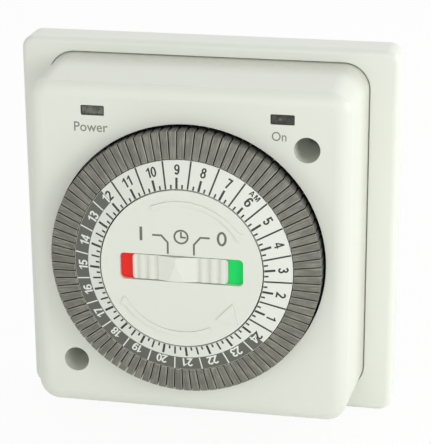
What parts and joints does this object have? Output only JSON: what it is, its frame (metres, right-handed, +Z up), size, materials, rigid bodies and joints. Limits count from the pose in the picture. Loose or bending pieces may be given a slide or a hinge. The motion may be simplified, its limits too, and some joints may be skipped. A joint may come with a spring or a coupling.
{
  "type": "plug in timer switch",
  "caption": "Wall-mounted 24 hour mechanical time switch: square module on a flat wall plate, with a conical dial of push-in tappets and a sliding override knob.",
  "frame": {"origin": "on the wall plane, midway between the two box screw holes and on the axis of the dial", "axes": "+Z up, -Y out of the wall towards the person in front, +X to that person's right"},
  "size_m": [0.086, 0.0373, 0.086],
  "materials": {
    "cover_white": "smooth moulded off-white plastic, slightly glossy",
    "plate_white": "smooth moulded off-white plastic",
    "carrier_white": "plain white nylon moulding",
    "scale_print": "white plastic ring with a printed 24 hour scale",
    "tappet_grey": "warm mid-grey moulded plastic",
    "black_plastic": "dark moulded plastic",
    "deck_grey": "dark grey moulded plastic",
    "gear_white": "natural acetal",
    "brass": "plain pressed brass",
    "steel": "zinc plated steel",
    "motor_steel": "pressed steel can",
    "board_green": "phenolic board",
    "resistor_tan": "lacquered film resistor",
    "lamp_glass": "small neon lamp",
    "window_smoke": "grey translucent window",
    "flag_red": "bright red plastic",
    "flag_green": "bright green plastic",
    "knob_white": "smooth off-white plastic",
    "plunger_red": "red moulded plastic"
  },
  "bodies": {
    "root": {"back_plate": "plate_white", "terminal_block": "black_plastic", "terminal_clamps": "brass", "terminal_screws": "steel", "plug_sockets": "brass", "rear_cover": "cover_white", "plug_pins": "brass", "motor": "motor_steel", "works_screws": "steel", "switch_case": "black_plastic", "switch_terminals": "brass", "frame_plate": "deck_grey", "idler_axle": "steel", "lever_pin": "steel", "circuit_board": "board_green", "resistors": "resistor_tan", "neon_lamps": "lamp_glass", "power_window": "window_smoke", "on_window": "window_smoke", "front_cover": "cover_white", "case_screws": "steel", "fixing_screws": "steel", "centre_disc": "cover_white", "red_flag": "flag_red", "green_flag": "flag_green", "detent_spring": "steel"},
    "dial": {"dial_carrier": "carrier_white", "scale_ring": "scale_print", "dial_gear": "gear_white", "clutch_spring": "steel"},
    "idler": {"idler_gear": "gear_white"},
    "motor_shaft": {"motor_pinion": "brass"},
    "lever": {"trip_lever": "gear_white"},
    "plunger": {"switch_plunger": "plunger_red"},
    "slider": {"override_slider": "knob_white", "slider_clip": "deck_grey"},
    "tappets_01": {"tappets_01": "tappet_grey"},
    "tappets_02": {"tappets_02": "tappet_grey"},
    "tappets_03": {"tappets_03": "tappet_grey"},
    "tappets_04": {"tappets_04": "tappet_grey"},
    "tappets_05": {"tappets_05": "tappet_grey"},
    "tappets_06": {"tappets_06": "tappet_grey"},
    "tappets_07": {"tappets_07": "tappet_grey"},
    "tappets_08": {"tappets_08": "tappet_grey"},
    "tappets_09": {"tappets_09": "tappet_grey"},
    "tappets_10": {"tappets_10": "tappet_grey"},
    "tappets_11": {"tappets_11": "tappet_grey"},
    "tappets_12": {"tappets_12": "tappet_grey"},
    "tappets_13": {"tappets_13": "tappet_grey"},
    "tappets_14": {"tappets_14": "tappet_grey"},
    "tappets_15": {"tappets_15": "tappet_grey"},
    "tappets_16": {"tappets_16": "tappet_grey"},
    "tappets_17": {"tappets_17": "tappet_grey"},
    "tappets_18": {"tappets_18": "tappet_grey"},
    "tappets_19": {"tappets_19": "tappet_grey"},
    "tappets_20": {"tappets_20": "tappet_grey"},
    "tappets_21": {"tappets_21": "tappet_grey"},
    "tappets_22": {"tappets_22": "tappet_grey"},
    "tappets_23": {"tappets_23": "tappet_grey"},
    "tappets_24": {"tappets_24": "tappet_grey"}
  },
  "joints": [
    {"name": "dial_turn", "type": "hinge", "parent": "root", "child": "dial", "pos_m": [0, -0.0256, 0], "axis": [0, 1, 0], "continuous": true},
    {"name": "idler_turn", "type": "hinge", "parent": "root", "child": "idler", "pos_m": [-0.01819, -0.0222, 0.0105], "axis": [0, 1, 0], "continuous": true},
    {"name": "motor_turn", "type": "hinge", "parent": "root", "child": "motor_shaft", "pos_m": [-0.0143, -0.0205, -0.00399], "axis": [0, 1, 0], "continuous": true},
    {"name": "lever_press", "type": "hinge", "parent": "root", "child": "lever", "pos_m": [0.0295, -0.017, -0.0138], "axis": [0, 0, -1], "range_deg": [0, 4.2], "stiffness_Nm_per_rad": 0.02, "springref_deg": -2.86},
    {"name": "plunger_press", "type": "slide", "parent": "root", "child": "plunger", "axis": [0, 1, 0], "range_m": [0, 0.00135]},
    {"name": "override_slide", "type": "slide", "parent": "root", "child": "slider", "axis": [1, 0, 0], "range_m": [-0.0026, 0.0026], "deforming": ["detent_spring"]},
    {"name": "tappet_push_01", "type": "slide", "parent": "dial", "child": "tappets_01", "axis": [0, 1, 0], "range_m": [0, 0.002]},
    {"name": "tappet_push_02", "type": "slide", "parent": "dial", "child": "tappets_02", "axis": [0, 1, 0], "range_m": [0, 0.002]},
    {"name": "tappet_push_03", "type": "slide", "parent": "dial", "child": "tappets_03", "axis": [0, 1, 0], "range_m": [0, 0.002]},
    {"name": "tappet_push_04", "type": "slide", "parent": "dial", "child": "tappets_04", "axis": [0, 1, 0], "range_m": [0, 0.002]},
    {"name": "tappet_push_05", "type": "slide", "parent": "dial", "child": "tappets_05", "axis": [0, 1, 0], "range_m": [0, 0.002]},
    {"name": "tappet_push_06", "type": "slide", "parent": "dial", "child": "tappets_06", "axis": [0, 1, 0], "range_m": [0, 0.002]},
    {"name": "tappet_push_07", "type": "slide", "parent": "dial", "child": "tappets_07", "axis": [0, 1, 0], "range_m": [0, 0.002]},
    {"name": "tappet_push_08", "type": "slide", "parent": "dial", "child": "tappets_08", "axis": [0, 1, 0], "range_m": [0, 0.002]},
    {"name": "tappet_push_09", "type": "slide", "parent": "dial", "child": "tappets_09", "axis": [0, 1, 0], "range_m": [0, 0.002]},
    {"name": "tappet_push_10", "type": "slide", "parent": "dial", "child": "tappets_10", "axis": [0, 1, 0], "range_m": [0, 0.002]},
    {"name": "tappet_push_11", "type": "slide", "parent": "dial", "child": "tappets_11", "axis": [0, 1, 0], "range_m": [0, 0.002]},
    {"name": "tappet_push_12", "type": "slide", "parent": "dial", "child": "tappets_12", "axis": [0, 1, 0], "range_m": [0, 0.002]},
    {"name": "tappet_push_13", "type": "slide", "parent": "dial", "child": "tappets_13", "axis": [0, 1, 0], "range_m": [0, 0.002]},
    {"name": "tappet_push_14", "type": "slide", "parent": "dial", "child": "tappets_14", "axis": [0, 1, 0], "range_m": [0, 0.002]},
    {"name": "tappet_push_15", "type": "slide", "parent": "dial", "child": "tappets_15", "axis": [0, 1, 0], "range_m": [0, 0.002]},
    {"name": "tappet_push_16", "type": "slide", "parent": "dial", "child": "tappets_16", "axis": [0, 1, 0], "range_m": [0, 0.002]},
    {"name": "tappet_push_17", "type": "slide", "parent": "dial", "child": "tappets_17", "axis": [0, 1, 0], "range_m": [0, 0.002]},
    {"name": "tappet_push_18", "type": "slide", "parent": "dial", "child": "tappets_18", "axis": [0, 1, 0], "range_m": [0, 0.002]},
    {"name": "tappet_push_19", "type": "slide", "parent": "dial", "child": "tappets_19", "axis": [0, 1, 0], "range_m": [0, 0.002]},
    {"name": "tappet_push_20", "type": "slide", "parent": "dial", "child": "tappets_20", "axis": [0, 1, 0], "range_m": [0, 0.002]},
    {"name": "tappet_push_21", "type": "slide", "parent": "dial", "child": "tappets_21", "axis": [0, 1, 0], "range_m": [0, 0.002]},
    {"name": "tappet_push_22", "type": "slide", "parent": "dial", "child": "tappets_22", "axis": [0, 1, 0], "range_m": [0, 0.002]},
    {"name": "tappet_push_23", "type": "slide", "parent": "dial", "child": "tappets_23", "axis": [0, 1, 0], "range_m": [0, 0.002]},
    {"name": "tappet_push_24", "type": "slide", "parent": "dial", "child": "tappets_24", "axis": [0, 1, 0], "range_m": [0, 0.002]}
  ],
  "couplings": [
    {"joint": "idler_turn", "follows": "dial_turn", "ratio": -6},
    {"joint": "motor_turn", "follows": "dial_turn", "ratio": 24},
    {"joint": "plunger_press", "follows": "lever_press", "m_per_rad": 0.0175}
  ]
}
